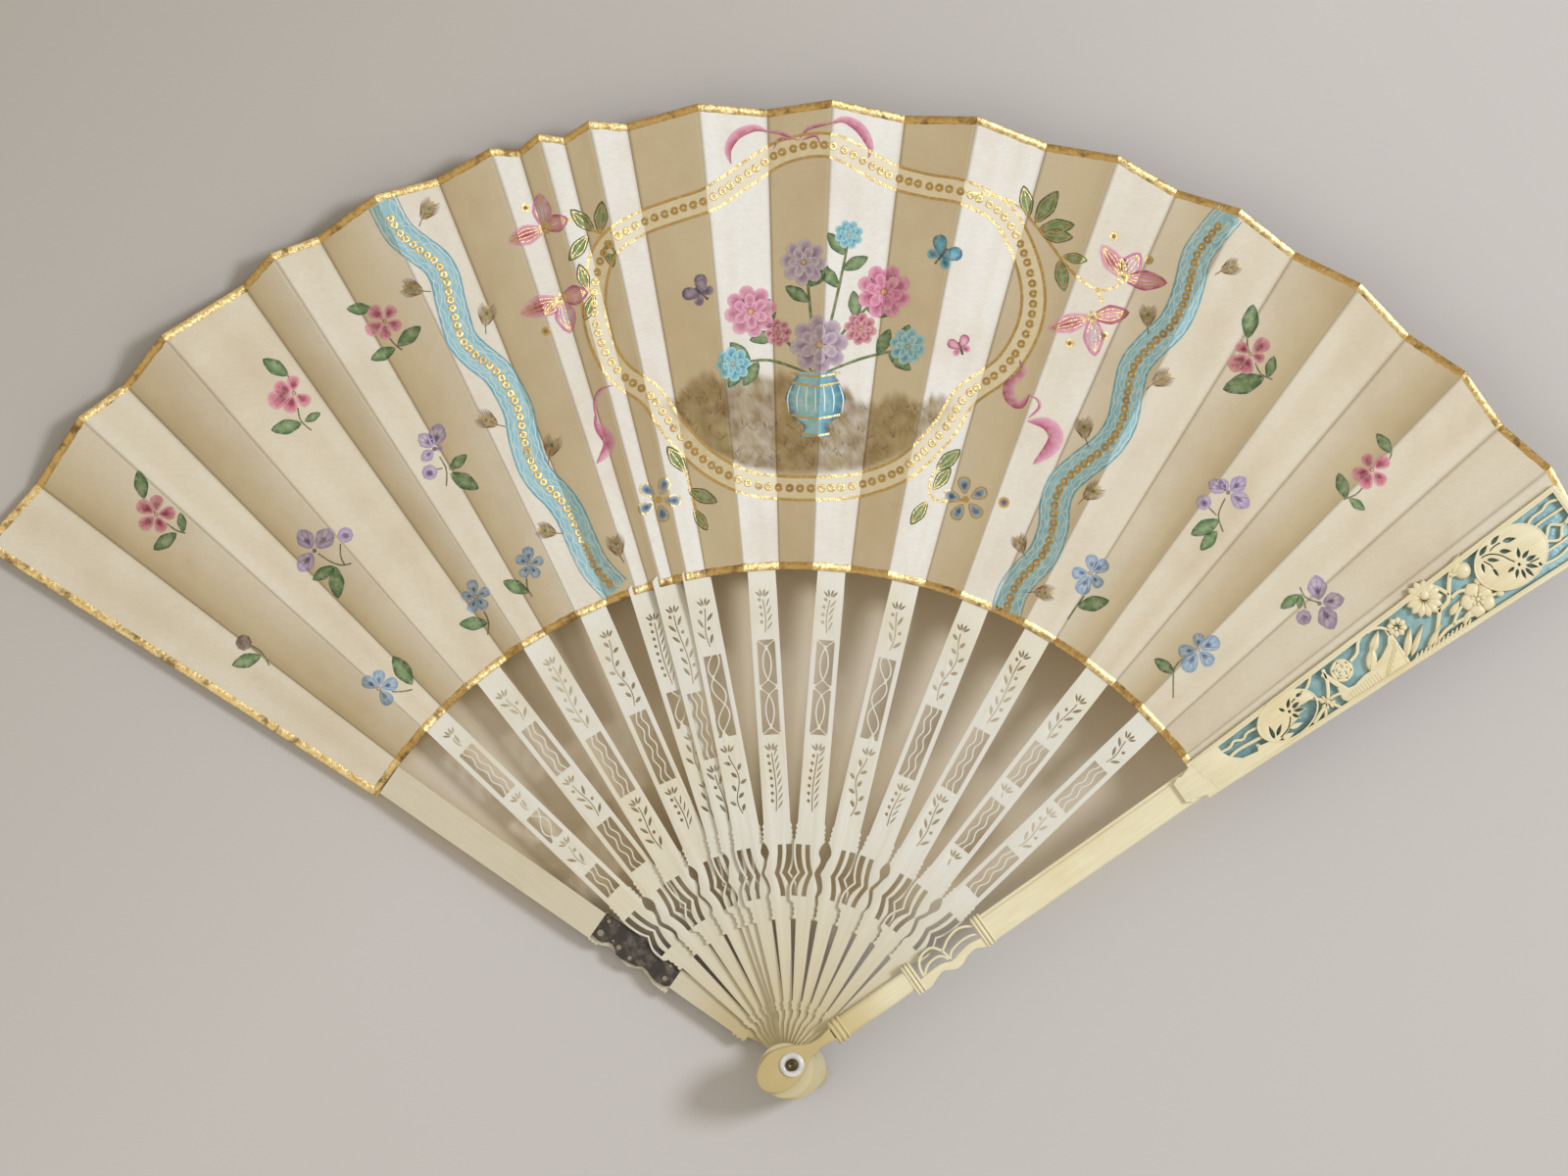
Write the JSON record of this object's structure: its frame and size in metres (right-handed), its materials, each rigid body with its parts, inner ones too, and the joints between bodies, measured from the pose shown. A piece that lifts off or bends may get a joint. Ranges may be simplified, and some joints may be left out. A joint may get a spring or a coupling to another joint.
{
  "type": "folding fan",
  "caption": "Open folding hand fan with pierced sticks on one rivet, two carved guards and a pleated paper leaf that closes into a flat stack.",
  "frame": {"origin": "foot of the rivet, where the pivot axis meets the surface that the fan lies on", "axes": "+Z along the pivot axis, up from the surface; +Y up the middle of the open leaf; +X towards the front guard's side"},
  "size_m": [0.4532, 0.2794, 0.0255],
  "materials": {
    "stick_ivory": "satin",
    "guard_ivory": "satin",
    "leaf_light": "matte",
    "leaf_shaded": "matte",
    "blue_foil": "satin",
    "dark_mend": "satin",
    "pearl": "gloss",
    "rivet_steel": "satin"
  },
  "bodies": {
    "back_guard": {"back_guard": "guard_ivory", "back_foil": "blue_foil", "leaf_end_panel_back": "leaf_light", "mend_plate": "dark_mend", "rivet": "rivet_steel", "back_washer": "pearl", "front_washer": "pearl"},
    "front_guard": {"front_guard": "guard_ivory", "front_foil": "blue_foil", "leaf_end_panel_front": "leaf_light"},
    "stick_01": {"stick_01": "stick_ivory", "leaf_rib_panel_01": "leaf_light"},
    "stick_02": {"stick_02": "stick_ivory", "leaf_rib_panel_02": "leaf_light"},
    "stick_03": {"stick_03": "stick_ivory", "leaf_rib_panel_03": "leaf_light"},
    "stick_04": {"stick_04": "stick_ivory", "leaf_rib_panel_04": "leaf_light"},
    "stick_05": {"stick_05": "stick_ivory", "leaf_rib_panel_05": "leaf_light"},
    "stick_06": {"stick_06": "stick_ivory", "leaf_rib_panel_06": "leaf_light"},
    "stick_07": {"stick_07": "stick_ivory", "leaf_rib_panel_07": "leaf_light"},
    "stick_08": {"stick_08": "stick_ivory", "leaf_rib_panel_08": "leaf_light"},
    "stick_09": {"stick_09": "stick_ivory", "leaf_rib_panel_09": "leaf_light"},
    "stick_10": {"stick_10": "stick_ivory", "leaf_rib_panel_10": "leaf_light"},
    "stick_11": {"stick_11": "stick_ivory", "leaf_rib_panel_11": "leaf_light"},
    "stick_12": {"stick_12": "stick_ivory", "leaf_rib_panel_12": "leaf_light"},
    "stick_13": {"stick_13": "stick_ivory", "leaf_rib_panel_13": "leaf_light"},
    "stick_14": {"stick_14": "stick_ivory", "leaf_rib_panel_14": "leaf_light"},
    "leaf_fold_01": {"leaf_free_panel_01": "leaf_shaded"},
    "leaf_fold_02": {"leaf_free_panel_02": "leaf_shaded"},
    "leaf_fold_03": {"leaf_free_panel_03": "leaf_shaded"},
    "leaf_fold_04": {"leaf_free_panel_04": "leaf_shaded"},
    "leaf_fold_05": {"leaf_free_panel_05": "leaf_shaded"},
    "leaf_fold_06": {"leaf_free_panel_06": "leaf_shaded"},
    "leaf_fold_07": {"leaf_free_panel_07": "leaf_shaded"},
    "leaf_fold_08": {"leaf_free_panel_08": "leaf_shaded"},
    "leaf_fold_09": {"leaf_free_panel_09": "leaf_shaded"},
    "leaf_fold_10": {"leaf_free_panel_10": "leaf_shaded"},
    "leaf_fold_11": {"leaf_free_panel_11": "leaf_shaded"},
    "leaf_fold_12": {"leaf_free_panel_12": "leaf_shaded"},
    "leaf_fold_13": {"leaf_free_panel_13": "leaf_shaded"},
    "leaf_fold_14": {"leaf_free_panel_14": "leaf_shaded"},
    "leaf_fold_15": {"leaf_free_panel_15": "leaf_shaded"}
  },
  "joints": [
    {"name": "front_guard_swing", "type": "hinge", "parent": "back_guard", "child": "front_guard", "pos_m": [0, 0, 0], "axis": [0, 0, 1], "range_deg": [0, 110]},
    {"name": "stick_01_swing", "type": "hinge", "parent": "back_guard", "child": "stick_01", "pos_m": [0, 0, 0], "axis": [0, 0, 1], "range_deg": [0, 8.8]},
    {"name": "stick_02_swing", "type": "hinge", "parent": "back_guard", "child": "stick_02", "pos_m": [0, 0, 0], "axis": [0, 0, 1], "range_deg": [0, 16.95]},
    {"name": "stick_03_swing", "type": "hinge", "parent": "back_guard", "child": "stick_03", "pos_m": [0, 0, 0], "axis": [0, 0, 1], "range_deg": [0, 23.7]},
    {"name": "stick_04_swing", "type": "hinge", "parent": "back_guard", "child": "stick_04", "pos_m": [0, 0, 0], "axis": [0, 0, 1], "range_deg": [0, 31.25]},
    {"name": "stick_05_swing", "type": "hinge", "parent": "back_guard", "child": "stick_05", "pos_m": [0, 0, 0], "axis": [0, 0, 1], "range_deg": [0, 37.55]},
    {"name": "stick_06_swing", "type": "hinge", "parent": "back_guard", "child": "stick_06", "pos_m": [0, 0, 0], "axis": [0, 0, 1], "range_deg": [0, 40.45]},
    {"name": "stick_07_swing", "type": "hinge", "parent": "back_guard", "child": "stick_07", "pos_m": [0, 0, 0], "axis": [0, 0, 1], "range_deg": [0, 43.95]},
    {"name": "stick_08_swing", "type": "hinge", "parent": "back_guard", "child": "stick_08", "pos_m": [0, 0, 0], "axis": [0, 0, 1], "range_deg": [0, 51.5]},
    {"name": "stick_09_swing", "type": "hinge", "parent": "back_guard", "child": "stick_09", "pos_m": [0, 0, 0], "axis": [0, 0, 1], "range_deg": [0, 59.65]},
    {"name": "stick_10_swing", "type": "hinge", "parent": "back_guard", "child": "stick_10", "pos_m": [0, 0, 0], "axis": [0, 0, 1], "range_deg": [0, 68.35]},
    {"name": "stick_11_swing", "type": "hinge", "parent": "back_guard", "child": "stick_11", "pos_m": [0, 0, 0], "axis": [0, 0, 1], "range_deg": [0, 76.85]},
    {"name": "stick_12_swing", "type": "hinge", "parent": "back_guard", "child": "stick_12", "pos_m": [0, 0, 0], "axis": [0, 0, 1], "range_deg": [0, 84.8]},
    {"name": "stick_13_swing", "type": "hinge", "parent": "back_guard", "child": "stick_13", "pos_m": [0, 0, 0], "axis": [0, 0, 1], "range_deg": [0, 93.2]},
    {"name": "stick_14_swing", "type": "hinge", "parent": "back_guard", "child": "stick_14", "pos_m": [0, 0, 0], "axis": [0, 0, 1], "range_deg": [0, 101.15]},
    {"name": "leaf_fold_01_swing", "type": "hinge", "parent": "back_guard", "child": "leaf_fold_01", "pos_m": [0, 0, 0], "axis": [0, 0, 1], "range_deg": [0, 4.8], "deforming": ["leaf_free_panel_01"]},
    {"name": "leaf_fold_02_swing", "type": "hinge", "parent": "back_guard", "child": "leaf_fold_02", "pos_m": [0, 0, 0], "axis": [0, 0, 1], "range_deg": [0, 12.3], "deforming": ["leaf_free_panel_02"]},
    {"name": "leaf_fold_03_swing", "type": "hinge", "parent": "back_guard", "child": "leaf_fold_03", "pos_m": [0, 0, 0], "axis": [0, 0, 1], "range_deg": [0, 21], "deforming": ["leaf_free_panel_03"]},
    {"name": "leaf_fold_04_swing", "type": "hinge", "parent": "back_guard", "child": "leaf_fold_04", "pos_m": [0, 0, 0], "axis": [0, 0, 1], "range_deg": [0, 27.25], "deforming": ["leaf_free_panel_04"]},
    {"name": "leaf_fold_05_swing", "type": "hinge", "parent": "back_guard", "child": "leaf_fold_05", "pos_m": [0, 0, 0], "axis": [0, 0, 1], "range_deg": [0, 34.95], "deforming": ["leaf_free_panel_05"]},
    {"name": "leaf_fold_06_swing", "type": "hinge", "parent": "back_guard", "child": "leaf_fold_06", "pos_m": [0, 0, 0], "axis": [0, 0, 1], "range_deg": [0, 39.05], "deforming": ["leaf_free_panel_06"]},
    {"name": "leaf_fold_07_swing", "type": "hinge", "parent": "back_guard", "child": "leaf_fold_07", "pos_m": [0, 0, 0], "axis": [0, 0, 1], "range_deg": [0, 42], "deforming": ["leaf_free_panel_07"]},
    {"name": "leaf_fold_08_swing", "type": "hinge", "parent": "back_guard", "child": "leaf_fold_08", "pos_m": [0, 0, 0], "axis": [0, 0, 1], "range_deg": [0, 47.25], "deforming": ["leaf_free_panel_08"]},
    {"name": "leaf_fold_09_swing", "type": "hinge", "parent": "back_guard", "child": "leaf_fold_09", "pos_m": [0, 0, 0], "axis": [0, 0, 1], "range_deg": [0, 55.5], "deforming": ["leaf_free_panel_09"]},
    {"name": "leaf_fold_10_swing", "type": "hinge", "parent": "back_guard", "child": "leaf_fold_10", "pos_m": [0, 0, 0], "axis": [0, 0, 1], "range_deg": [0, 64], "deforming": ["leaf_free_panel_10"]},
    {"name": "leaf_fold_11_swing", "type": "hinge", "parent": "back_guard", "child": "leaf_fold_11", "pos_m": [0, 0, 0], "axis": [0, 0, 1], "range_deg": [0, 72.7], "deforming": ["leaf_free_panel_11"]},
    {"name": "leaf_fold_12_swing", "type": "hinge", "parent": "back_guard", "child": "leaf_fold_12", "pos_m": [0, 0, 0], "axis": [0, 0, 1], "range_deg": [0, 80.8], "deforming": ["leaf_free_panel_12"]},
    {"name": "leaf_fold_13_swing", "type": "hinge", "parent": "back_guard", "child": "leaf_fold_13", "pos_m": [0, 0, 0], "axis": [0, 0, 1], "range_deg": [0, 89], "deforming": ["leaf_free_panel_13"]},
    {"name": "leaf_fold_14_swing", "type": "hinge", "parent": "back_guard", "child": "leaf_fold_14", "pos_m": [0, 0, 0], "axis": [0, 0, 1], "range_deg": [0, 97.25], "deforming": ["leaf_free_panel_14"]},
    {"name": "leaf_fold_15_swing", "type": "hinge", "parent": "back_guard", "child": "leaf_fold_15", "pos_m": [0, 0, 0], "axis": [0, 0, 1], "range_deg": [0, 104.95], "deforming": ["leaf_free_panel_15"]}
  ],
  "couplings": [
    {"joint": "stick_01_swing", "follows": "front_guard_swing", "ratio": 0.07956},
    {"joint": "stick_02_swing", "follows": "front_guard_swing", "ratio": 0.15362},
    {"joint": "stick_03_swing", "follows": "front_guard_swing", "ratio": 0.215},
    {"joint": "stick_04_swing", "follows": "front_guard_swing", "ratio": 0.28363},
    {"joint": "stick_05_swing", "follows": "front_guard_swing", "ratio": 0.34092},
    {"joint": "stick_06_swing", "follows": "front_guard_swing", "ratio": 0.36728},
    {"joint": "stick_07_swing", "follows": "front_guard_swing", "ratio": 0.39908},
    {"joint": "stick_08_swing", "follows": "front_guard_swing", "ratio": 0.46771},
    {"joint": "stick_09_swing", "follows": "front_guard_swing", "ratio": 0.54178},
    {"joint": "stick_10_swing", "follows": "front_guard_swing", "ratio": 0.62092},
    {"joint": "stick_11_swing", "follows": "front_guard_swing", "ratio": 0.69815},
    {"joint": "stick_12_swing", "follows": "front_guard_swing", "ratio": 0.77046},
    {"joint": "stick_13_swing", "follows": "front_guard_swing", "ratio": 0.84686},
    {"joint": "stick_14_swing", "follows": "front_guard_swing", "ratio": 0.91911},
    {"joint": "leaf_fold_01_swing", "follows": "front_guard_swing", "ratio": 0.0432},
    {"joint": "leaf_fold_02_swing", "follows": "front_guard_swing", "ratio": 0.11136},
    {"joint": "leaf_fold_03_swing", "follows": "front_guard_swing", "ratio": 0.19045},
    {"joint": "leaf_fold_04_swing", "follows": "front_guard_swing", "ratio": 0.24727},
    {"joint": "leaf_fold_05_swing", "follows": "front_guard_swing", "ratio": 0.3173},
    {"joint": "leaf_fold_06_swing", "follows": "front_guard_swing", "ratio": 0.35454},
    {"joint": "leaf_fold_07_swing", "follows": "front_guard_swing", "ratio": 0.38137},
    {"joint": "leaf_fold_08_swing", "follows": "front_guard_swing", "ratio": 0.42907},
    {"joint": "leaf_fold_09_swing", "follows": "front_guard_swing", "ratio": 0.50407},
    {"joint": "leaf_fold_10_swing", "follows": "front_guard_swing", "ratio": 0.58135},
    {"joint": "leaf_fold_11_swing", "follows": "front_guard_swing", "ratio": 0.66044},
    {"joint": "leaf_fold_12_swing", "follows": "front_guard_swing", "ratio": 0.7341},
    {"joint": "leaf_fold_13_swing", "follows": "front_guard_swing", "ratio": 0.80863},
    {"joint": "leaf_fold_14_swing", "follows": "front_guard_swing", "ratio": 0.88368},
    {"joint": "leaf_fold_15_swing", "follows": "front_guard_swing", "ratio": 0.95366}
  ]
}
